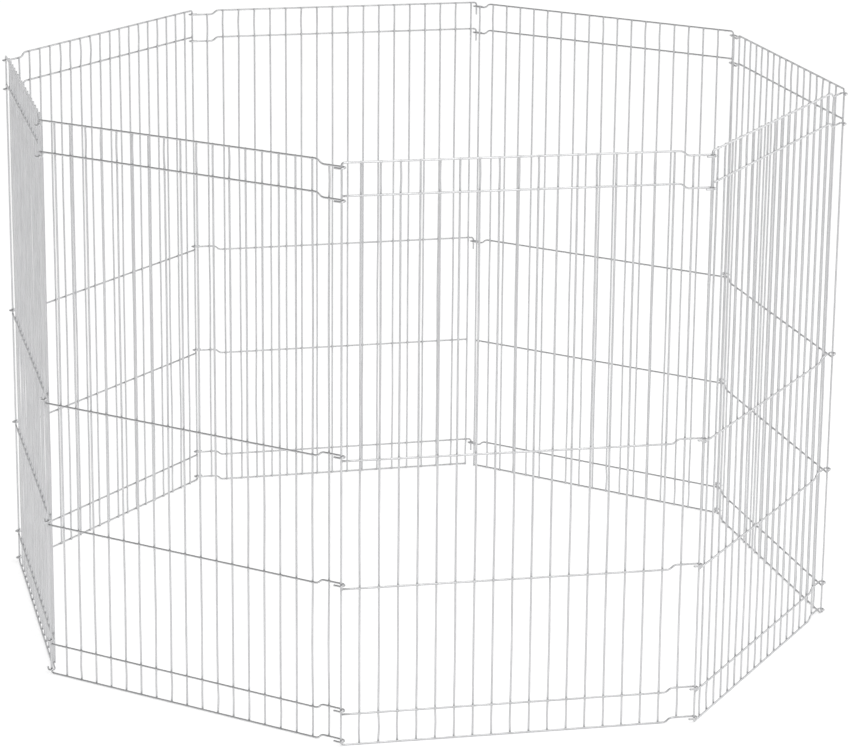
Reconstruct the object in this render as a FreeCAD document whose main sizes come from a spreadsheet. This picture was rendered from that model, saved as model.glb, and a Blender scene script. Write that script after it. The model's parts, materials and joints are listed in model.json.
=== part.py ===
"""Folding wire playpen: eight welded wire panels hinged in a ring, open at the top and at the floor.

Millimetres, +Z up, front panel towards -Y. The origin is on the floor at the centre of the footprint.

Each panel is drawn in its own frame first: x runs along the rails from the hinge post (x = 0) to the eyes,
+y points into the pen, and z = 0 is the axis of the ground rail. Its Placement then stands it in the ring.
"""
import FreeCAD
import Part

import Sketcher

import math
import os
from collections import namedtuple

from FreeCAD import Placement, Rotation, Vector

SIZES = {
    "wire_diameter": 2.8,          # one gauge of wire throughout
    "picket_pitch": 25.0,
    "picket_count": 18,
    "panel_height": 768.0,         # ground rail axis to top rail axis
    "border_gap": 42.0,            # top to second rail, and toe to ground rail
    "weld_bite": 0.35,             # how far a weld presses a picket into a rail
    "picket_inset": 0.5,           # a picket ends this far inside the outer rail's far side
    "post_gap": 24.5,              # hinge post to the nearest picket
    "eye_gap": 22.5,               # hinge axis in the eyes to the nearest picket
    "closing_eye_gap": 10.5,       # the same, on the panel whose eyes take the drop hooks
    "hook_gap": 9.5,               # drop hook axis to the nearest picket
    "corner_radius": 3.5,          # centre line of the bend between a rail and its post
    "eye_radius": 4.2,             # centre line of the eye's turn
    "eye_tilt": 5.0,               # degrees, so that the eye's tail lies a little below its rail
    "eye_tail": 8.5,
    "joggle_height": 6.0,          # step that takes an eye past the neighbour's rail
    "joggle_length": 14.0,
    "hook_radius": 4.0,
    "hook_drop": 19.5,             # rail axis to the hook's tip
    "plain_end": 1.5,              # a rail without eye or hook ends this far past its last picket
    "heading_panel_four": 0.0,     # headings of the sides: degrees from +X, walking with the inside on
    "heading_panel_three": 51.6,   # the left; the last two sides close the ring and need none
    "heading_panel_two": 92.6,
    "heading_panel_one": 136.0,
    "heading_gate": 181.9,
    "heading_panel_seven": 228.5,
}

STANDARD, CLOSING, GATE = "standard", "closing", "gate"
Side = namedtuple("Side", "name kind heading")
RING = [
    Side("panel_4", STANDARD, "heading_panel_four"),
    Side("panel_3", STANDARD, "heading_panel_three"),
    Side("panel_2", STANDARD, "heading_panel_two"),
    Side("panel_1", CLOSING, "heading_panel_one"),
    Side("gate_panel", GATE, "heading_gate"),
    Side("panel_7", STANDARD, "heading_panel_seven"),
    Side("panel_6", STANDARD, None),
    Side("panel_5", STANDARD, None),
]

doc = FreeCAD.newDocument("playpen")
sheet = doc.addObject("Spreadsheet::Sheet", "Sizes")
for row, (alias, value) in enumerate(SIZES.items(), start=1):
    sheet.set(f"A{row}", alias)
    sheet.set(f"B{row}", str(value))
    sheet.setAlias(f"B{row}", alias)
doc.recompute()


def size(alias):
    """The sheet's value under an alias, in millimetres or degrees."""
    return float(sheet.get(alias))


PICKET_SPAN = size("picket_pitch") * (size("picket_count") - 1)
PIN_OFFSET = size("eye_radius") * math.cos(math.radians(size("eye_tilt")))
TOP = size("panel_height")
RAIL_HEIGHTS = {
    "top": TOP,
    "second": TOP - size("border_gap"),
    "waist": TOP / 2,
    "knee": (TOP / 2 + size("border_gap")) / 2,
    "toe": size("border_gap"),
    "ground": 0.0,
}
EYES_STEP_DOWN = ("top", "second")
HOOKED_RAILS = ("top", "second", "waist", "toe")


def near_gap(kind):
    """Distance from the post or hook axis to the nearest picket."""
    return size("hook_gap") if kind == GATE else size("post_gap")


def far_gap(kind):
    """Distance from the eye-end hinge axis to the nearest picket."""
    return size("closing_eye_gap") if kind == CLOSING else size("eye_gap")


def spacing(kind):
    """Distance along the rails from the post or hook axis to the hinge axis in the eyes."""
    return near_gap(kind) + PICKET_SPAN + far_gap(kind)


def eye_step(kind, rail):
    """Signed height of the joggle before a rail's eye; zero where the rail has no eye."""
    if kind == CLOSING:
        return -size("joggle_height") if rail in HOOKED_RAILS else 0.0
    return -size("joggle_height") if rail in EYES_STEP_DOWN else size("joggle_height")


def line(start, end):
    return Part.makeLine(start, end)


def arc(start, middle, end):
    return Part.Arc(start, middle, end).toShape()


def joggle(x, low_z, high_z):
    """Two tangent arcs from (x, low_z) to (x + joggle_length, high_z), level at both ends."""
    run = size("joggle_length")
    rise = high_z - low_z
    turn = 2 * math.atan(abs(rise) / run)
    radius = run / (2 * math.sin(turn))
    along = radius * math.sin(turn / 2)
    up = math.copysign(radius * (1 - math.cos(turn / 2)), rise)
    centre = Vector(x + run / 2, 0, (low_z + high_z) / 2)
    start, end = Vector(x, 0, low_z), Vector(x + run, 0, high_z)
    return [
        arc(start, start + Vector(along, 0, up), centre),
        arc(centre, end - Vector(along, 0, up), end),
    ]


def eye(x, z):
    """The turn round the neighbour's post and its tail, from the strand's tangent point at (x, z)."""
    radius, tilt = size("eye_radius"), math.radians(size("eye_tilt"))
    sideways = Vector(0, -radius * math.cos(tilt), -radius * math.sin(tilt))
    start = Vector(x, 0, z)
    middle = start + sideways + Vector(radius, 0, 0)
    end = start + sideways * 2
    return [arc(start, middle, end), line(end, end - Vector(size("eye_tail"), 0, 0))]


def far_end(kind, rail, start_x):
    """Edges of a rail from start_x to its eye, or to its plain end beyond the last picket."""
    z = RAIL_HEIGHTS[rail]
    last_picket = near_gap(kind) + PICKET_SPAN
    step = eye_step(kind, rail)
    if step == 0:
        return [line(Vector(start_x, 0, z), Vector(last_picket + size("plain_end"), 0, z))]
    joggle_x = last_picket - (size("picket_pitch") + size("joggle_length")) / 2
    pin_x = spacing(kind)
    edges = [line(Vector(start_x, 0, z), Vector(joggle_x, 0, z))]
    edges += joggle(joggle_x, z, z + step)
    edges.append(line(Vector(joggle_x + size("joggle_length"), 0, z + step), Vector(pin_x, 0, z + step)))
    return edges + eye(pin_x, z + step)


def backwards(edges):
    """The same edges walked from the last to the first."""
    return [edge.reversed() for edge in reversed(edges)]


def rail_edges(kind, rail):
    """A separate rail: welded to the post, hooked or plain at one end, with an eye or plain at the other."""
    z = RAIL_HEIGHTS[rail]
    if kind != GATE:
        return far_end(kind, rail, size("wire_diameter") / 4)
    if rail not in HOOKED_RAILS:
        return far_end(kind, rail, size("hook_gap") - size("plain_end"))
    bend = size("hook_radius")
    slant = bend * math.sin(math.radians(45))
    tip = Vector(0, 0, z - size("hook_drop"))
    bend_start = Vector(0, 0, z - bend)
    bend_middle = Vector(bend - slant, 0, z - bend + slant)
    bend_end = Vector(bend, 0, z)
    return [line(tip, bend_start), arc(bend_start, bend_middle, bend_end)] + far_end(kind, rail, bend)


def frame_edges(kind):
    """One bent wire: the top rail from its eye, the hinge post, and the ground rail to its eye."""
    bend = size("corner_radius")
    inset = bend * (1 - math.sin(math.radians(45)))
    return (
        backwards(far_end(kind, "top", bend))
        + [
            arc(Vector(bend, 0, TOP), Vector(inset, 0, TOP - inset), Vector(0, 0, TOP - bend)),
            line(Vector(0, 0, TOP - bend), Vector(0, 0, bend)),
            arc(Vector(0, 0, bend), Vector(inset, 0, inset), Vector(bend, 0, 0)),
        ]
        + far_end(kind, "ground", bend)
    )


def swept_wire(name, edges):
    """A round wire along a path of tangent edges."""
    path = doc.addObject("Part::Feature", name + "_path")
    path.Shape = Part.Wire(edges)
    start, second = [vertex.Point for vertex in path.Shape.OrderedVertexes[:2]]
    section = doc.addObject("Part::Circle", name + "_section")
    section.setExpression("Radius", "Sizes.wire_diameter / 2")
    section.Placement = Placement(start, Rotation(Vector(0, 0, 1), second - start))
    sweep = doc.addObject("Part::Sweep", name)
    sweep.Sections = [section]
    sweep.Spine = (path, [f"Edge{n + 1}" for n in range(len(path.Shape.Edges))])
    sweep.Solid = True
    sweep.Transition = "Right corner"
    return sweep


def picket_pad(body, name, x_gap, low, high):
    """One picket: a circle in the floor plane, padded up; its place and ends are expressions."""
    plane = next(f for f in body.Origin.OriginFeatures if f.Role == "XY_Plane")
    sketch = body.newObject("Sketcher::SketchObject", name + "_sketch")
    sketch.AttachmentSupport = [(plane, "")]
    sketch.MapMode = "FlatFace"
    sketch.setExpression("AttachmentOffset.Base.z", low)
    rough_x, rough_y = 30, 3
    sketch.addGeometry(Part.Circle(Vector(rough_x, rough_y, 0), Vector(0, 0, 1), 1), False)
    circle, centre_point, origin, origin_point = 0, 3, -1, 1
    sketch.addConstraint(Sketcher.Constraint("Diameter", circle, size("wire_diameter")))
    for direction, rough in (("DistanceX", rough_x), ("DistanceY", rough_y)):
        sketch.addConstraint(
            Sketcher.Constraint(direction, origin, origin_point, circle, centre_point, rough)
        )
    sketch.setExpression("Constraints[0]", "Sizes.wire_diameter")
    sketch.setExpression("Constraints[1]", x_gap)
    sketch.setExpression("Constraints[2]", "Sizes.wire_diameter - Sizes.weld_bite")
    pad = body.newObject("PartDesign::Pad", name + "_pad")
    pad.Profile = sketch
    pad.setExpression("Length", f"({high}) - ({low})")
    return pad


def pickets(kind, name):
    """All of a panel's pickets as separate solids; the one beside the eyes spans the stepped rails."""
    near = "Sizes.hook_gap" if kind == GATE else "Sizes.post_gap"
    low = "Sizes.picket_inset - Sizes.wire_diameter / 2"
    high = "Sizes.panel_height + Sizes.wire_diameter / 2 - Sizes.picket_inset"
    body = doc.addObject("PartDesign::Body", name)
    body.AllowCompound = True
    full = picket_pad(body, name + "_full", near, low, high)
    axis = next(f for f in body.Origin.OriginFeatures if f.Role == "X_Axis")
    row = body.newObject("PartDesign::LinearPattern", name + "_row")
    row.Originals = [full]
    row.Direction = (axis, [""])
    row.setExpression("Length", "Sizes.picket_pitch * (Sizes.picket_count - 2)")
    row.setExpression("Occurrences", "Sizes.picket_count - 1")
    body.Tip = row
    last = f"{near} + Sizes.picket_pitch * (Sizes.picket_count - 1)"
    foot = low if kind == CLOSING else f"Sizes.joggle_height + {low}"
    short = picket_pad(body, name + "_short", last, foot, f"{high} - Sizes.joggle_height")
    body.Tip = short
    return body


def pin_from(origin, heading, kind):
    """Where a side's far hinge axis stands, from its near one and the heading of its rails."""
    along = Rotation(Vector(0, 0, 1), heading)
    return origin + along.multVec(Vector(spacing(kind), -PIN_OFFSET, 0))


def ring_placements():
    """Near hinge axis and heading of each side, in RING's order; the last two close the ring."""
    here = Vector(0, 0, 0)
    placed = []
    for side in RING[:-2]:
        placed.append((here, size(side.heading)))
        here = pin_from(here, size(side.heading), side.kind)
    home = placed[0][0]
    chord = math.hypot(spacing(STANDARD), PIN_OFFSET)
    gap = home - here
    out = Vector(gap.y, -gap.x, 0).normalize() * math.sqrt(chord**2 - (gap.Length / 2) ** 2)
    corner = here + gap / 2 + out
    skew = math.degrees(math.atan2(PIN_OFFSET, spacing(STANDARD)))
    for start, end in ((here, corner), (corner, home)):
        reach = end - start
        placed.append((start, math.degrees(math.atan2(reach.y, reach.x)) + skew))
    return placed


def build_side(side):
    """Every wire of one side, drawn in the panel's own frame."""
    if side.kind == GATE:
        rails = list(RAIL_HEIGHTS)
        built = []
    else:
        rails = ["second", "waist", "knee", "toe"]
        built = [swept_wire(side.name + "_frame_wire", frame_edges(side.kind))]
    built += [swept_wire(f"{side.name}_{rail}_rail", rail_edges(side.kind, rail)) for rail in rails]
    built.append(pickets(side.kind, side.name + "_pickets"))
    return built


def joined_box(objects):
    """The lowest and highest corners of several objects' shapes."""
    boxes = [thing.Shape.optimalBoundingBox(False) for thing in objects]
    low = Vector(*(min(getattr(box, axis) for box in boxes) for axis in ("XMin", "YMin", "ZMin")))
    high = Vector(*(max(getattr(box, axis) for box in boxes) for axis in ("XMax", "YMax", "ZMax")))
    return low, high


def check(objects):
    """Stop before anything is written if an object failed or a sub-part's shape is bad."""
    for thing in doc.Objects:
        if {"Invalid", "Error"} & set(thing.State):
            raise RuntimeError(f"{thing.Label} failed: {thing.State}")
    for thing in objects:
        if thing.Shape.isNull() or not thing.Shape.isValid() or not thing.Shape.Solids:
            raise RuntimeError(f"{thing.Label} has no valid solid")


places = ring_placements()
sides = [build_side(side) for side in RING]
doc.recompute()
for objects, (origin, heading) in zip(sides, places):
    for thing in objects:
        thing.Placement = Placement(origin, Rotation(Vector(0, 0, 1), heading))
doc.recompute()

subparts = [thing for objects in sides for thing in objects]
lowest, highest = joined_box(subparts)
shift = Vector(-(lowest.x + highest.x) / 2, -(lowest.y + highest.y) / 2, -lowest.z)
for thing in subparts:
    thing.Placement = Placement(shift, Rotation()) * thing.Placement
doc.recompute()
check(subparts)

os.makedirs("parts", exist_ok=True)
for thing in subparts:
    thing.Shape.exportStep(os.path.join("parts", thing.Label + ".step"))

for side, (origin, heading) in zip(RING, places):
    axis = origin + shift
    print(f"{side.name}: near hinge axis at x {axis.x:.3f} y {axis.y:.3f}, heading {heading:.3f}")
wire_volume = sum(thing.Shape.Volume for thing in subparts)
print(f"{len(subparts)} sub-parts, box {highest - lowest}, wire volume {wire_volume:.0f} mm3")
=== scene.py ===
"""Looks of the folding wire playpen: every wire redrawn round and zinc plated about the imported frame.

Metres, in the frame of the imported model. A panel is drawn in its own axes first: x runs along the rails from
the hinge post to the eyes, y points into the pen, and z rises from the axis of the ground rail.
"""

import json
import logging
import math
import random
from dataclasses import dataclass, field
from enum import Enum

import bpy
from mathutils import Matrix, Vector


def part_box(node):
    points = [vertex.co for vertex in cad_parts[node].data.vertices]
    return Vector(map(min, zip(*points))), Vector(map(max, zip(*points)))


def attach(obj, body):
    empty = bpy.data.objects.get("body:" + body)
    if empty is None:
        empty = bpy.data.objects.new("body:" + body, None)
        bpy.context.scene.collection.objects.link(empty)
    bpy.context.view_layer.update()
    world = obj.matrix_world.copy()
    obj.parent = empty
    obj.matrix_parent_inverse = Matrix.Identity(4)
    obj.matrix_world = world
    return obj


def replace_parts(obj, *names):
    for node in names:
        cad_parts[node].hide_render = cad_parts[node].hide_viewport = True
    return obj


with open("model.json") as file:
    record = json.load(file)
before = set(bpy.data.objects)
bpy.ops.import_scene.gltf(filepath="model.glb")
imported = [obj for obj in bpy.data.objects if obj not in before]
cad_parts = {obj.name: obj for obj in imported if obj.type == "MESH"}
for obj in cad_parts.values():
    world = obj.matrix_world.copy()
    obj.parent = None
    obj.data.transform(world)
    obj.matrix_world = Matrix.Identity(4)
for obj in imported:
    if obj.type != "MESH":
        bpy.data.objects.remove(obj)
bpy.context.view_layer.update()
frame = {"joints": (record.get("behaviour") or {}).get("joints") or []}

log = logging.getLogger("playpen")
MM = 0.001
POST_RAILS = ("second", "waist", "knee", "toe")  # the rails that are welded to a post


class Kind(Enum):
    """The three ways a panel is made."""

    STANDARD = "post at one end, eyes at the other"
    CLOSING = "post at one end, eyes for the drop hooks at the other"
    GATE = "drop hooks at one end, eyes at the other"


class Start(Enum):
    """How a rail begins, at the hinge-post side of its panel."""

    POST = "welded to the post"
    HOOK = "bent down into a drop hook"
    PLAIN = "cut off just before the first picket"


class Surface(Enum):
    """The record's material slots."""

    FRAME = "frame_wire"
    RAIL = "rail_wire"
    PICKET = "picket_wire"


@dataclass(frozen=True)
class Sizes:
    """Driving dimensions of the wire and of the bends in it."""

    radius: float = 1.4 * MM
    pitch: float = 25 * MM
    count: int = 18
    border: float = 42 * MM
    weld_bite: float = 0.35 * MM
    picket_inset: float = 0.5 * MM
    post_gap: float = 24.5 * MM
    eye_gap: float = 22.5 * MM
    closing_eye_gap: float = 10.5 * MM
    hook_gap: float = 9.5 * MM
    corner_radius: float = 3.5 * MM
    eye_radius: float = 4.2 * MM
    eye_tilt: float = math.radians(5)
    eye_tail: float = 8.5 * MM
    joggle_height: float = 6 * MM
    joggle_length: float = 14 * MM
    hook_radius: float = 4 * MM
    hook_drop: float = 19.5 * MM
    plain_end: float = 1.5 * MM

    @property
    def picket_span(self) -> float:
        """From a panel's first picket to its last."""
        return self.pitch * (self.count - 1)

    @property
    def pin_offset(self) -> float:
        """How far outside its rail an eye holds the neighbour's post."""
        return self.eye_radius * math.cos(self.eye_tilt)

    @property
    def picket_y(self) -> float:
        """Axis of the pickets, pressed a little into the rails."""
        return 2 * self.radius - self.weld_bite


SIZES = Sizes()


@dataclass(frozen=True)
class BeadSizes:
    """Weld beads, in wire radii along the panel's axes.

    Attributes:
        inner: Half size where a picket crosses an inner rail.
        outer: Half size at the top and ground rails, kept clear of the floor.
        collar: Half size where a rail meets its post.
        collar_place: How far a collar's middle stands from the post's axis.
        spread: Least and greatest size of a crossing's bead against its nominal size.
        collar_spread: The same, for a collar.
        lumps: Least and greatest height of the lumps on a bead.
        around: Points round a bead.
        rows: Bands of faces from one pole of a bead to the other.
        heat: How much a bead's own plating is greyed.
    """

    inner: tuple[float, float, float] = (1.17, 0.70, 1.17)
    outer: tuple[float, float, float] = (1.12, 0.70, 0.84)
    collar: tuple[float, float, float] = (0.62, 1.15, 1.15)
    collar_place: float = 1.05
    spread: tuple[float, float] = (0.92, 1.08)
    collar_spread: tuple[float, float] = (0.95, 1.08)
    lumps: tuple[float, float] = (0.93, 1.07)
    around: int = 10
    rows: int = 5
    heat: float = 0.75


BEADS = BeadSizes()


@dataclass(frozen=True)
class Grain:
    """How the plating varies over the wire.

    Attributes:
        lines: Cycles per metre of the drawing lines, along the wire and across it.
        clouds: Cycles per metre of the cloudy patches, along and across.
        spangle: Cells per metre of the spangle.
        middle: The mean of the lines and of the clouds.
        spangle_middle: The mean of the spangle.
        greys: Share of the dull colour that clouds, lines, spangle and weld heat each add.
        roughs: Roughness that clouds, spangle and weld heat each add.
        heights: Height of the lines and of the spangle, as shares of the relief.
        bump: Strength of the relief.
    """

    lines: tuple[float, float] = (60, 3200)
    clouds: tuple[float, float] = (28, 240)
    spangle: float = 650
    middle: float = 0.5
    spangle_middle: float = 0.4
    greys: tuple[float, float, float, float] = (0.55, 0.35, 0.16, 0.08)
    roughs: tuple[float, float, float] = (0.22, 0.06, 0.14)
    heights: tuple[float, float] = (0.7, 0.5)
    bump: float = 0.6


GRAIN = Grain()


class Signal:
    """A shader socket that takes part in Python sums; each operator adds one Math node."""

    def __init__(self, graph: "Graph", socket: bpy.types.NodeSocket) -> None:
        """Wrap a socket.

        Args:
            graph: The node tree that the socket belongs to.
            socket: An output socket that carries a number.
        """
        self.graph = graph
        self.socket = socket

    def _math(self, operation: str, first: object, second: object) -> "Signal":
        """One Math node of two inputs, as a new signal."""
        return self.graph.node("ShaderNodeMath", {"operation": operation}, {0: first, 1: second})

    def __add__(self, other: object) -> "Signal":
        """self + other."""
        return self._math("ADD", self, other)

    def __radd__(self, other: object) -> "Signal":
        """other + self."""
        return self._math("ADD", other, self)

    def __sub__(self, other: object) -> "Signal":
        """self - other."""
        return self._math("SUBTRACT", self, other)

    def __rsub__(self, other: object) -> "Signal":
        """other - self."""
        return self._math("SUBTRACT", other, self)

    def __mul__(self, other: object) -> "Signal":
        """self * other."""
        return self._math("MULTIPLY", self, other)

    def __rmul__(self, other: object) -> "Signal":
        """other * self."""
        return self._math("MULTIPLY", other, self)


class Graph:
    """One material's node tree."""

    def __init__(self, tree: bpy.types.NodeTree) -> None:
        """Empty the tree.

        Args:
            tree: The node tree of a material or a world.
        """
        self.tree = tree
        tree.nodes.clear()

    def node(self, kind: str, settings: dict | None = None, inputs: dict | None = None,
             output: int | str = 0) -> Signal:
        """Add a node.

        Args:
            kind: The node's type.
            settings: Attributes of the node, set first.
            inputs: Values or signals, by the input's index or name.
            output: Index or name of the output that is returned.

        Returns:
            The chosen output.
        """
        made = self.tree.nodes.new(kind)
        for name, value in (settings or {}).items():
            setattr(made, name, value)
        for key, value in (inputs or {}).items():
            if isinstance(value, Signal):
                self.tree.links.new(value.socket, made.inputs[key])
            else:
                made.inputs[key].default_value = value
        return Signal(self, made.outputs[output])

    def finish(self, kind: str, shader: Signal) -> None:
        """Join a shader to an output node of the given type."""
        end = self.tree.nodes.new(kind)
        self.tree.links.new(shader.socket, end.inputs["Surface"])

    def attribute(self, name: str, output: str) -> Signal:
        """A value stored on the mesh, as its "Vector" or its "Fac"."""
        return self.node("ShaderNodeAttribute", {"attribute_name": name}, output=output)

    def stretched(self, vector: Signal, along: float, across: float) -> Signal:
        """A wire's skin coordinate scaled along the wire and across it."""
        scale = (along, across, across)
        return self.node("ShaderNodeVectorMath", {"operation": "MULTIPLY"}, {0: vector, 1: scale})

    def noise(self, vector: Signal, detail: float) -> Signal:
        """Cloudy noise, about 0.5, at the vector's own scale."""
        return self.node("ShaderNodeTexNoise", {}, {"Vector": vector, "Scale": 1.0, "Detail": detail})


@dataclass(frozen=True)
class ZincFinish:
    """Bright zinc plating on drawn wire.

    Attributes:
        name: The material's name.
        bright: Colour of clean plating.
        dull: Colour of plating that has gone grey.
        roughness: Of clean plating.
        dullness: Share of the dull colour away from any weld.
        relief: Height of the drawing lines and spangle.
    """

    name: str
    bright: tuple[float, float, float] = (0.68, 0.682, 0.69)
    dull: tuple[float, float, float] = (0.42, 0.422, 0.43)
    roughness: float = 0.32
    dullness: float = 0.22
    relief: float = 0.00006

    def material(self) -> bpy.types.Material:
        """Build the material.

        Returns:
            A metal with drawing lines along the wire, cloudy patches, a fine spangle and grey welds.
        """
        made = bpy.data.materials.new(self.name)
        made.use_nodes = True
        graph = Graph(made.node_tree)
        skin = graph.attribute("wire_skin", "Vector")
        heat = graph.attribute("weld_heat", "Fac")
        lines = graph.noise(graph.stretched(skin, *GRAIN.lines), 2.0)
        clouds = graph.noise(graph.stretched(skin, *GRAIN.clouds), 3.0)
        spangle = graph.node(
            "ShaderNodeTexVoronoi", {"feature": "F1"},
            {"Vector": graph.stretched(skin, GRAIN.spangle, GRAIN.spangle), "Scale": 1.0, "Randomness": 1.0},
            "Distance")
        cloud_grey, line_grey, spangle_grey, heat_grey = GRAIN.greys
        grey = self.dullness + (clouds - GRAIN.middle) * cloud_grey + (lines - GRAIN.middle) * line_grey
        grey = grey + (spangle - GRAIN.spangle_middle) * spangle_grey + heat * heat_grey
        share = graph.node("ShaderNodeClamp", {}, {"Value": grey})
        colour = graph.node(
            "ShaderNodeMix", {"data_type": "RGBA"},
            {0: share, 6: (*self.bright, 1), 7: (*self.dull, 1)}, 2)
        cloud_rough, spangle_rough, heat_rough = GRAIN.roughs
        rough = self.roughness + (clouds - GRAIN.middle) * cloud_rough
        rough = rough + spangle * spangle_rough + heat * heat_rough
        line_height, spangle_height = GRAIN.heights
        height = lines * line_height + spangle * spangle_height + heat * clouds
        bump = graph.node(
            "ShaderNodeBump", {}, {"Strength": GRAIN.bump, "Distance": self.relief, "Height": height})
        shader = graph.node(
            "ShaderNodeBsdfPrincipled", {},
            {"Base Color": colour, "Roughness": rough, "Metallic": 1.0, "Normal": bump}, "BSDF")
        graph.finish("ShaderNodeOutputMaterial", shader)
        return made


@dataclass
class Wire:
    """One wire's centre line and the places where it is welded.

    Attributes:
        points: Centre line, in the panel's axes.
        welds: Weld centres near the wire, in the same axes.
    """

    points: list[Vector]
    welds: list[Vector] = field(default_factory=list)


@dataclass
class Skin:
    """Mesh data gathered from round wires and weld beads.

    Attributes:
        sides: Facets round a wire.
        chamfer: How far the shear rounds a cut end, along the wire.
        sheared: Radius of the flat at a cut end, as a share of the wire's.
        heat_reach: Distance over which a weld greys the plating.
    """

    sides: int = 14
    chamfer: float = 0.3 * MM
    sheared: float = 0.78
    heat_reach: float = 3.2 * MM
    vertices: list[Vector] = field(default_factory=list)
    faces: list[tuple[int, ...]] = field(default_factory=list)
    skin: list[Vector] = field(default_factory=list)
    heat: list[float] = field(default_factory=list)

    def _heat_at(self, point: Vector, welds: list[Vector]) -> float:
        """How much the nearest weld has greyed the plating, 0 to 1."""
        if not welds:
            return 0.0
        gap = min((point - weld).length for weld in welds)
        return math.exp(-((gap / self.heat_reach) ** 2))

    def _stations(self, points: list[Vector], radius: float) -> list[tuple[Vector, float]]:
        """Centre points with their radii: the given ones, and a rounded shear at both ends."""
        cut = self.sheared * radius
        first = points[0] + (points[1] - points[0]).normalized() * self.chamfer
        last = points[-1] + (points[-2] - points[-1]).normalized() * self.chamfer
        middle = [(point, radius) for point in [first, *points[1:-1], last]]
        return [(points[0], cut), *middle, (points[-1], cut)]

    def add_wire(self, wire: Wire, radius: float, draw: random.Random) -> None:
        """Sweep a round section along a wire.

        Args:
            wire: Centre line and welds.
            radius: Radius of the section.
            draw: Source of the wire's own place in the grain.
        """
        stations = self._stations(wire.points, radius)
        run = draw.uniform(0, 20)
        across = Vector((0, 1, 0))
        base = len(self.vertices)
        for n, (centre, ring_radius) in enumerate(stations):
            before = stations[max(n - 1, 0)][0]
            after = stations[min(n + 1, len(stations) - 1)][0]
            along = (after - before).normalized()
            across = (across - along * across.dot(along)).normalized()
            third = along.cross(across)
            run += (centre - before).length
            heat = self._heat_at(centre, wire.welds)
            for side in range(self.sides):
                angle = 2 * math.pi * side / self.sides
                c, s = math.cos(angle), math.sin(angle)
                self.vertices.append(centre + (across * c + third * s) * ring_radius)
                self.skin.append(Vector((run, radius * c, radius * s)))
                self.heat.append(heat)
        for n in range(len(stations) - 1):
            for side in range(self.sides):
                a, b = base + n * self.sides + side, base + n * self.sides + (side + 1) % self.sides
                self.faces.append((a, b, b + self.sides, a + self.sides))
        last = base + (len(stations) - 1) * self.sides
        self.faces.append(tuple(reversed(range(base, base + self.sides))))
        self.faces.append(tuple(range(last, last + self.sides)))

    def add_bead(self, centre: Vector, half: Vector, draw: random.Random) -> None:
        """A weld's squeezed-out bead, a lumpy ellipsoid.

        Args:
            centre: Middle of the weld.
            half: Half its size each way.
            draw: Source of its lumps.
        """
        around, rows = BEADS.around, BEADS.rows
        base = len(self.vertices)
        run = draw.uniform(0, 20)
        for row in range(1, rows):
            polar = math.pi * row / rows
            for n in range(around):
                turn = 2 * math.pi * n / around
                lump = draw.uniform(*BEADS.lumps)
                across = math.sin(polar)
                ball = Vector((across * math.cos(turn), math.cos(polar), across * math.sin(turn)))
                self._bead_point(centre, half, ball * lump, run)
        self._bead_point(centre, half, Vector((0, 1, 0)), run)
        self._bead_point(centre, half, Vector((0, -1, 0)), run)
        near, far = base + (rows - 1) * around, base + (rows - 1) * around + 1
        for n in range(around):
            m = (n + 1) % around
            self.faces.append((near, base + m, base + n))
            outer = base + (rows - 2) * around
            self.faces.append((far, outer + n, outer + m))
            for row in range(rows - 2):
                a, b = base + row * around + n, base + row * around + m
                self.faces.append((a, b, b + around, a + around))

    def _bead_point(self, centre: Vector, half: Vector, ball: Vector, run: float) -> None:
        """One point of a bead, from its place on a unit ball."""
        offset = Vector((ball.x * half.x, ball.y * half.y, ball.z * half.z))
        self.vertices.append(centre + offset)
        self.skin.append(Vector((run, 0, 0)) + offset)
        self.heat.append(BEADS.heat)

    def piece(self, name: str, place: Matrix) -> bpy.types.Object:
        """Make the object.

        Args:
            name: Its name.
            place: From the panel's axes to the frame's.

        Returns:
            A smooth-shaded mesh object, with its place in its mesh.
        """
        mesh = bpy.data.meshes.new(name)
        mesh.from_pydata([place @ vertex for vertex in self.vertices], [], self.faces)
        mesh.shade_smooth()
        skin = mesh.attributes.new("wire_skin", "FLOAT_VECTOR", "POINT")
        skin.data.foreach_set("vector", [value for point in self.skin for value in point])
        heat = mesh.attributes.new("weld_heat", "FLOAT", "POINT")
        heat.data.foreach_set("value", self.heat)
        mesh.update()
        made = bpy.data.objects.new(name, mesh)
        bpy.context.scene.collection.objects.link(made)
        return made


@dataclass(frozen=True)
class Finishes:
    """The plating on each kind of wire, built once."""

    frame_wire: bpy.types.Material
    rail: bpy.types.Material
    picket: bpy.types.Material
    weld: bpy.types.Material

    @classmethod
    def build(cls) -> "Finishes":
        """Make the four materials."""
        return cls(
            ZincFinish("zinc_frame_wire").material(),
            ZincFinish("zinc_rail_wire", dullness=0.24).material(),
            ZincFinish("zinc_picket_wire", dullness=0.20, roughness=0.34).material(),
            ZincFinish("zinc_weld_bead", dullness=0.10, roughness=0.42, relief=0.00010).material(),
        )


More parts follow.
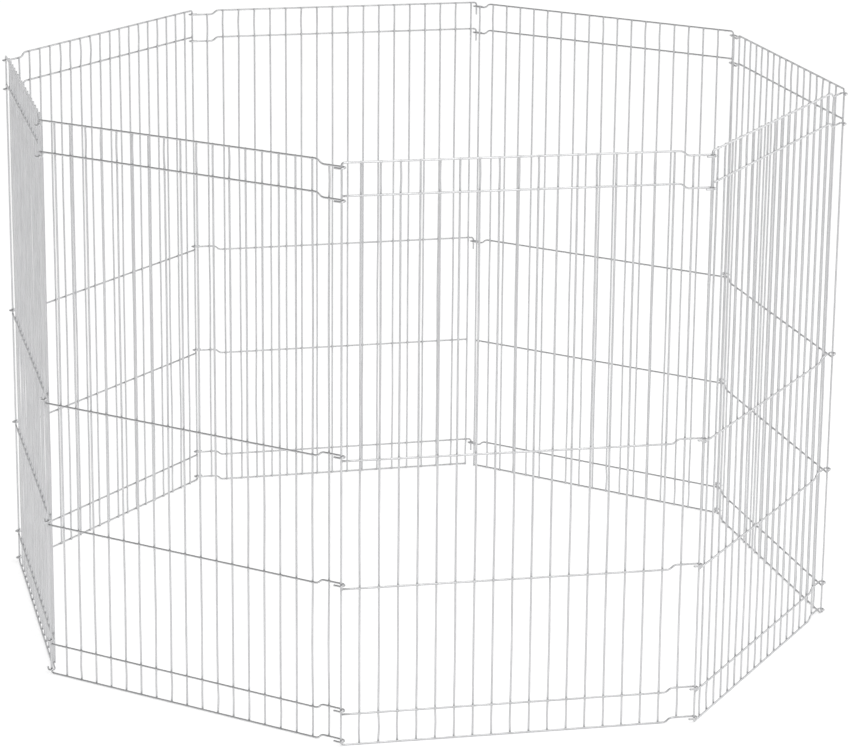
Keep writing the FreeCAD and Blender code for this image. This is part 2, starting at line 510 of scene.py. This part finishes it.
@dataclass
class Panel:
    """One welded panel of the ring.

    Attributes:
        name: The body that it rides on.
        kind: How its ends are made.
        near: Foot of its hinge-post or hook axis.
        far: Foot of the axis that its eyes turn on.
        levels: Height of each rail's axis above the ground rail's.
        ground: Height of the ground rail's axis above the floor.
        finishes: Its materials.
        draw: Its own source of small irregularities.
        bow: Spread of the pickets' bows between welds.
        bow_shares: Where a bow's extra stations stand between two welds.
        bend_steps: Steps in which a bend is drawn.
        weld_stations: Where stations stand along a wire about each weld.
    """

    name: str
    kind: Kind
    near: Vector
    far: Vector
    levels: dict[str, float]
    ground: float
    finishes: Finishes
    draw: random.Random
    bow: float = 0.35 * MM
    bow_shares: tuple[float, ...] = (0.3, 0.5, 0.7)
    bend_steps: int = 6
    weld_stations: tuple[float, ...] = (-9 * MM, -4.5 * MM, -1.8 * MM, 0.0, 1.8 * MM, 4.5 * MM, 9 * MM)

    @property
    def near_gap(self) -> float:
        """From the post or hook axis to the first picket."""
        return SIZES.hook_gap if self.kind is Kind.GATE else SIZES.post_gap

    @property
    def far_gap(self) -> float:
        """From the last picket to the axis in the eyes."""
        return SIZES.closing_eye_gap if self.kind is Kind.CLOSING else SIZES.eye_gap

    @property
    def spacing(self) -> float:
        """From the post or hook axis to the axis in the eyes, along the rails."""
        return self.near_gap + SIZES.picket_span + self.far_gap

    @property
    def place(self) -> Matrix:
        """From the panel's axes to the frame's."""
        reach = self.far - self.near
        heading = math.atan2(reach.y, reach.x) + math.atan2(SIZES.pin_offset, self.spacing)
        foot = Vector((self.near.x, self.near.y, self.ground))
        return Matrix.Translation(foot) @ Matrix.Rotation(heading, 4, "Z")

    @property
    def picket_xs(self) -> list[float]:
        """Place of each picket along the rails."""
        return [self.near_gap + SIZES.pitch * n for n in range(SIZES.count)]

    def eye_step(self, rail: str) -> float:
        """Signed height of the joggle before a rail's eye; zero where it has no eye."""
        if self.kind is Kind.CLOSING:
            return 0.0 if rail in ("knee", "ground") else -SIZES.joggle_height
        return -SIZES.joggle_height if rail in ("top", "second") else SIZES.joggle_height

    def level_at(self, rail: str, picket: int) -> float:
        """Height of a rail where it crosses a picket; the last one crosses past the joggle."""
        step = self.eye_step(rail) if picket == SIZES.count - 1 else 0.0
        return self.levels[rail] + step

    def _straight(self, start: float, end: float, height: float) -> list[Vector]:
        """Points of a straight stretch of rail, closer together beside each weld."""
        xs = {start, end}
        for weld in self.picket_xs:
            xs |= {weld + offset for offset in self.weld_stations if start < weld + offset < end}
        return [Vector((x, 0, height)) for x in sorted(xs)]

    def _joggle(self, start: float, low: float, high: float) -> list[Vector]:
        """The step before an eye: two equal and opposite bends."""
        run, rise = SIZES.joggle_length, high - low
        turn = 2 * math.atan(abs(rise) / run)
        bend = run / (2 * math.sin(turn))
        points = []
        for n in range(1, 2 * self.bend_steps):
            x = run * n / (2 * self.bend_steps)
            near_side = min(x, run - x)
            drop = bend - math.sqrt(bend**2 - near_side**2)
            share = drop if x <= run / 2 else abs(rise) - drop
            points.append(Vector((start + x, 0, low + math.copysign(share, rise))))
        return points

    def _eye(self, x: float, height: float) -> list[Vector]:
        """The turn round the neighbour's post, and the tail along the outside."""
        side = Vector((0, -math.cos(SIZES.eye_tilt), -math.sin(SIZES.eye_tilt))) * SIZES.eye_radius
        centre = Vector((x, 0, height)) + side
        steps = 3 * self.bend_steps
        points = []
        for n in range(1, steps + 1):
            turn = math.pi * n / steps
            forward = Vector((SIZES.eye_radius * math.sin(turn), 0, 0))
            points.append(centre - side * math.cos(turn) + forward)
        return points + [points[-1] - Vector((SIZES.eye_tail * share, 0, 0)) for share in (0.5, 1.0)]

    def _far_end(self, rail: str, start: float) -> list[Vector]:
        """A rail from a place along it to its eye, or to its plain end."""
        height, step = self.levels[rail], self.eye_step(rail)
        last = self.picket_xs[-1]
        if step == 0:
            return self._straight(start, last + SIZES.plain_end, height)
        bend_start = last - (SIZES.pitch + SIZES.joggle_length) / 2
        points = self._straight(start, bend_start, height)
        points += self._joggle(bend_start, height, height + step)
        points += self._straight(bend_start + SIZES.joggle_length, self.spacing, height + step)
        return points + self._eye(self.spacing, height + step)

    def _corner(self, centre: Vector, radius: float, start: float, end: float) -> list[Vector]:
        """A bend in the panel's plane, between two angles from +x, in degrees."""
        points = []
        for n in range(self.bend_steps + 1):
            angle = math.radians(start + (end - start) * n / self.bend_steps)
            points.append(centre + Vector((math.cos(angle), 0, math.sin(angle))) * radius)
        return points

    def _rail_start(self, rail: str) -> Start:
        """How a separate rail begins."""
        if self.kind is not Kind.GATE:
            return Start.POST
        return Start.PLAIN if rail in ("knee", "ground") else Start.HOOK

    def _crossings(self, rail: str) -> list[Vector]:
        """Where a rail is welded to the pickets."""
        touch = SIZES.picket_y / 2
        return [Vector((x, touch, self.level_at(rail, n))) for n, x in enumerate(self.picket_xs)]

    def rail(self, rail: str) -> Wire:
        """A separate rail.

        Args:
            rail: Its level's name.

        Returns:
            Its wire, from the post or hook to the eye.
        """
        height = self.levels[rail]
        begin = self._rail_start(rail)
        welds = self._crossings(rail)
        if begin is Start.POST:
            welds.append(Vector((SIZES.radius, 0, height)))
            return Wire(self._far_end(rail, SIZES.radius / 2), welds)
        if begin is Start.PLAIN:
            return Wire(self._far_end(rail, SIZES.hook_gap - SIZES.plain_end), welds)
        bend = SIZES.hook_radius
        tip = Vector((0, 0, height - SIZES.hook_drop))
        middle = Vector((0, 0, height - SIZES.hook_drop / 2))
        corner = self._corner(Vector((bend, 0, height - bend)), bend, 180, 90)
        return Wire([tip, middle, *corner[:-1], *self._far_end(rail, bend)], welds)

    def frame_wire(self) -> Wire:
        """The bent wire that is top rail, hinge post and ground rail in one."""
        bend, top = SIZES.corner_radius, self.levels["top"]
        upper = self._far_end("top", bend)[::-1]
        lower = self._far_end("ground", bend)
        stations = [h for rail in POST_RAILS for h in self._beside(self.levels[rail])]
        post = [Vector((0, 0, h)) for h in sorted(stations, reverse=True)]
        top_corner = self._corner(Vector((bend, 0, top - bend)), bend, 90, 180)
        foot_corner = self._corner(Vector((bend, 0, bend)), bend, 180, 270)
        welds = self._crossings("top") + self._crossings("ground")
        welds += [Vector((0, 0, self.levels[rail])) for rail in POST_RAILS]
        return Wire(upper + top_corner[1:] + post + foot_corner[:-1] + lower, welds)

    def _beside(self, height: float) -> list[float]:
        """Heights of the stations about a weld."""
        return [height + offset for offset in self.weld_stations]

    def picket(self, number: int) -> Wire:
        """One upright wire, bowed a little between its welds.

        Args:
            number: Its place from the post, from 0.

        Returns:
            Its wire, from the foot up.
        """
        x = self.picket_xs[number]
        heights = sorted(self.level_at(rail, number) for rail in self.levels)
        inset = SIZES.picket_inset - SIZES.radius
        points = [Vector((x, SIZES.picket_y, heights[0] + inset))]
        for low, high in zip(heights, heights[1:]):
            bow = Vector((self.draw.gauss(0, self.bow), self.draw.gauss(0, self.bow), 0))
            near_low = [h for h in self._beside(low) if h >= low]
            near_high = [h for h in self._beside(high) if h < high]
            span = [low + (high - low) * share for share in self.bow_shares]
            for h in [*near_low, *span, *near_high]:
                swell = math.sin(math.pi * (h - low) / (high - low)) ** 2
                points.append(Vector((x, SIZES.picket_y, h)) + bow * swell)
        points.append(Vector((x, SIZES.picket_y, heights[-1])))
        points.append(Vector((x, SIZES.picket_y, heights[-1] - inset)))
        welds = [Vector((x, SIZES.picket_y / 2, h)) for h in heights]
        return Wire(points, welds)

    def _finish(self, skin: Skin, name: str,
                material: bpy.types.Material) -> bpy.types.Object:
        """Dress a piece and set it riding on the panel's body."""
        made = skin.piece(name, self.place)
        made.data.materials.append(material)
        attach(made, self.name)
        log.info("%s: %d faces", name, len(skin.faces))
        return made

    def _wire_piece(self, node: str, wire: Wire, material: bpy.types.Material) -> None:
        """One wire as a piece that stands for its node."""
        skin = Skin()
        skin.add_wire(wire, SIZES.radius, self.draw)
        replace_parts(self._finish(skin, node + "_drawn", material), node)

    def build(self) -> None:
        """Every wire and weld of the panel."""
        rails = [rail for rail in self.levels if self.kind is Kind.GATE or rail not in ("top", "ground")]
        if self.kind is not Kind.GATE:
            node = self.name + "_frame_wire"
            self._wire_piece(node, self.frame_wire(), self.finishes.frame_wire)
        for rail in rails:
            self._wire_piece(f"{self.name}_{rail}_rail", self.rail(rail), self.finishes.rail)
        row = Skin()
        for number in range(SIZES.count):
            row.add_wire(self.picket(number), SIZES.radius, self.draw)
        node = self.name + "_pickets"
        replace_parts(self._finish(row, node + "_drawn", self.finishes.picket), node)
        self._finish(self._beads(), self.name + "_weld_beads", self.finishes.weld)

    def _beads(self) -> Skin:
        """The metal squeezed out at every weld of the panel."""
        skin = Skin()
        inner, outer = Vector(BEADS.inner) * SIZES.radius, Vector(BEADS.outer) * SIZES.radius
        for rail in self.levels:
            bead = outer if rail in ("top", "ground") else inner
            for centre in self._crossings(rail):
                skin.add_bead(centre, bead * self.draw.uniform(*BEADS.spread), self.draw)
        if self.kind is not Kind.GATE:
            collar = Vector(BEADS.collar) * SIZES.radius
            for rail in POST_RAILS:
                centre = Vector((SIZES.radius * BEADS.collar_place, 0, self.levels[rail]))
                skin.add_bead(centre, collar * self.draw.uniform(*BEADS.collar_spread), self.draw)
        return skin


class Pen:
    """The ring of eight panels."""

    def __init__(self, finishes: Finishes) -> None:
        """Find every hinge axis in the frame.

        Args:
            finishes: Materials for the panels.
        """
        self.finishes = finishes
        self.axes = {joint["name"]: Vector(joint["pos_m"]) for joint in frame["joints"]}
        low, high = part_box("panel_4_frame_wire")
        self.ground = low.z + SIZES.radius
        top = high.z - SIZES.radius - self.ground
        self.levels = {
            "top": top, "second": top - SIZES.border, "waist": top / 2,
            "knee": (top / 2 + SIZES.border) / 2, "toe": SIZES.border, "ground": 0.0,
        }

    def _hook_corner(self) -> Vector:
        """Foot of the axis where the drop hooks hang in the closing panel's eyes."""
        here, there = self.axes["panel_1_hinge"], self.axes["gate_hinge"]
        closing_run = SIZES.post_gap + SIZES.picket_span + SIZES.closing_eye_gap
        gate_run = SIZES.hook_gap + SIZES.picket_span + SIZES.eye_gap
        first, second = math.hypot(closing_run, SIZES.pin_offset), math.hypot(gate_run, SIZES.pin_offset)
        gap = there - here
        along = (first**2 - second**2 + gap.length_squared) / (2 * gap.length)
        out = Vector((gap.y, -gap.x, 0)).normalized()
        return here + gap.normalized() * along + out * math.sqrt(first**2 - along**2)

    def build(self) -> None:
        """Build the panels, in order round the ring with the inside on the left."""
        names = ["fold", "panel_3_hinge", "panel_2_hinge", "panel_1_hinge"]
        feet = [self.axes[name] for name in names] + [self._hook_corner()]
        feet += [self.axes[name] for name in ("gate_hinge", "panel_7_hinge", "panel_6_hinge", "fold")]
        kinds = {"panel_1": Kind.CLOSING, "gate_panel": Kind.GATE}
        order = ["panel_4", "panel_3", "panel_2", "panel_1", "gate_panel", "panel_7", "panel_6", "panel_5"]
        for seed, (name, near, far) in enumerate(zip(order, feet, feet[1:])):
            kind = kinds.get(name, Kind.STANDARD)
            draw = random.Random(seed)
            Panel(name, kind, near, far, self.levels, self.ground, self.finishes, draw).build()


@dataclass(frozen=True)
class Softbox:
    """A square area light.

    Attributes:
        name: Its name.
        place: Where its middle stands.
        side: Length of its side.
        power: In watts.
    """

    name: str
    place: tuple[float, float, float]
    side: float
    power: float

    def build(self) -> None:
        """Hang the light, turned to the middle of the pen."""
        lamp = bpy.data.lights.new(self.name, "AREA")
        lamp.energy = self.power
        lamp.size = self.side
        made = bpy.data.objects.new(self.name, lamp)
        middle = Vector((0, 0, 0.4))
        turn = (Vector(self.place) - middle).to_track_quat("Z", "Y")
        made.matrix_world = Matrix.Translation(Vector(self.place)) @ turn.to_matrix().to_4x4()
        bpy.context.scene.collection.objects.link(made)


@dataclass(frozen=True)
class Studio:
    """Floor, lights and camera round the pen.

    Attributes:
        floor_half: Half the side of the floor.
        floor_tone: Grey of the floor.
        floor_glow: Light that the floor gives off, as a lit sweep does.
        room: Brightness of the room's dark side, as the wires see it.
        backdrop: Extra brightness of the room behind and to the right of the pen.
        bright_side: Direction in which the room is brightest.
        overhead_power: Strength of the broad light from above.
        overhead_angle: Angular size of that light, in degrees.
        overhead_from: Where it shines from.
        softboxes: The lights that stand near the pen.
        eye: The camera's place.
        yaw: Its heading, in degrees to the right of +Y.
        pitch: Its tilt, in degrees.
        roll: Its roll, in degrees.
        lens: Focal length in millimetres on a 36 mm sensor.
    """

    floor_half: float = 60.0
    floor_tone: float = 0.62
    floor_glow: float = 0.60
    room: float = 0.26
    backdrop: float = 0.72
    bright_side: tuple[float, float, float] = (0.40, 0.90, 0.10)
    overhead_power: float = 0.9
    overhead_angle: float = 70.0
    overhead_from: tuple[float, float, float] = (0.35, -0.30, 1.0)
    softboxes: tuple[Softbox, ...] = (
        Softbox("front_softbox", (0.1, -1.7, 1.45), 1.1, 7.5),
        Softbox("right_softbox", (2.3, 0.1, 1.3), 1.4, 7.0),
    )
    eye: tuple[float, float, float] = (-0.8872, -4.3869, 1.6022)
    yaw: float = 11.633
    pitch: float = -15.953
    roll: float = 0.506
    lens: float = 136.3

    def floor(self) -> None:
        """A plain pale floor."""
        mesh = bpy.data.meshes.new("floor")
        half = self.floor_half
        corners = [(-half, -half, 0), (half, -half, 0), (half, half, 0), (-half, half, 0)]
        mesh.from_pydata(corners, [], [(0, 1, 2, 3)])
        made = bpy.data.objects.new("floor", mesh)
        bpy.context.scene.collection.objects.link(made)
        material = bpy.data.materials.new("pale_floor")
        material.use_nodes = True
        graph = Graph(material.node_tree)
        tone = (self.floor_tone, self.floor_tone, self.floor_tone, 1)
        shader = graph.node(
            "ShaderNodeBsdfPrincipled", {},
            {"Base Color": tone, "Roughness": 0.9, "Specular IOR Level": 0.1,
             "Emission Color": (1, 1, 1, 1), "Emission Strength": self.floor_glow}, "BSDF")
        graph.finish("ShaderNodeOutputMaterial", shader)
        mesh.materials.append(material)

    def light(self) -> None:
        """A broad soft light from above and two near softboxes."""
        lamp = bpy.data.lights.new("overhead_light", "SUN")
        lamp.energy = self.overhead_power
        lamp.angle = math.radians(self.overhead_angle)
        made = bpy.data.objects.new("overhead_light", lamp)
        made.rotation_euler = Vector(self.overhead_from).to_track_quat("Z", "Y").to_euler()
        bpy.context.scene.collection.objects.link(made)
        for softbox in self.softboxes:
            softbox.build()

    def room_light(self) -> None:
        """A room that looks white behind the pen, and is bright at its back and dim at its front left."""
        world = bpy.data.worlds.new("pale_room")
        world.use_nodes = True
        bpy.context.scene.world = world
        graph = Graph(world.node_tree)
        way = graph.node("ShaderNodeTexCoord", output="Generated")
        side = Vector(self.bright_side).normalized()
        facing = graph.node("ShaderNodeVectorMath", {"operation": "DOT_PRODUCT"}, {0: way, 1: side}, "Value")
        glow = graph.node("ShaderNodeClamp", {}, {"Value": facing}) * self.backdrop + self.room
        seen = graph.node("ShaderNodeLightPath", output="Is Camera Ray")
        strength = seen + (1 - seen) * glow
        back = graph.node("ShaderNodeBackground", {}, {"Color": (1, 1, 1, 1), "Strength": strength})
        graph.finish("ShaderNodeOutputWorld", back)

    def camera(self) -> None:
        """The camera, from its heading, tilt and roll."""
        yaw, pitch, roll = (math.radians(angle) for angle in (self.yaw, self.pitch, self.roll))
        ahead = Vector((math.sin(yaw) * math.cos(pitch), math.cos(yaw) * math.cos(pitch), math.sin(pitch)))
        right = Vector((math.cos(yaw), -math.sin(yaw), 0))
        above = right.cross(ahead)
        turned_right = right * math.cos(roll) + above * math.sin(roll)
        turned_up = above * math.cos(roll) - right * math.sin(roll)
        lens = bpy.data.cameras.new("camera")
        lens.lens = self.lens
        lens.sensor_width = 36
        lens.clip_end = 200
        made = bpy.data.objects.new("camera", lens)
        axes = Matrix((turned_right, turned_up, -ahead)).transposed().to_4x4()
        made.matrix_world = Matrix.Translation(Vector(self.eye)) @ axes
        bpy.context.scene.collection.objects.link(made)
        bpy.context.scene.camera = made

    def build(self) -> None:
        """Set the whole studio up."""
        self.floor()
        self.light()
        self.room_light()
        self.camera()
        view = bpy.context.scene.view_settings
        view.view_transform = "Standard"


def main() -> None:
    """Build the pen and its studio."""
    logging.basicConfig(level=logging.INFO, format="%(message)s")
    Studio().build()
    Pen(Finishes.build()).build()


if __name__ == "__main__":
    main()
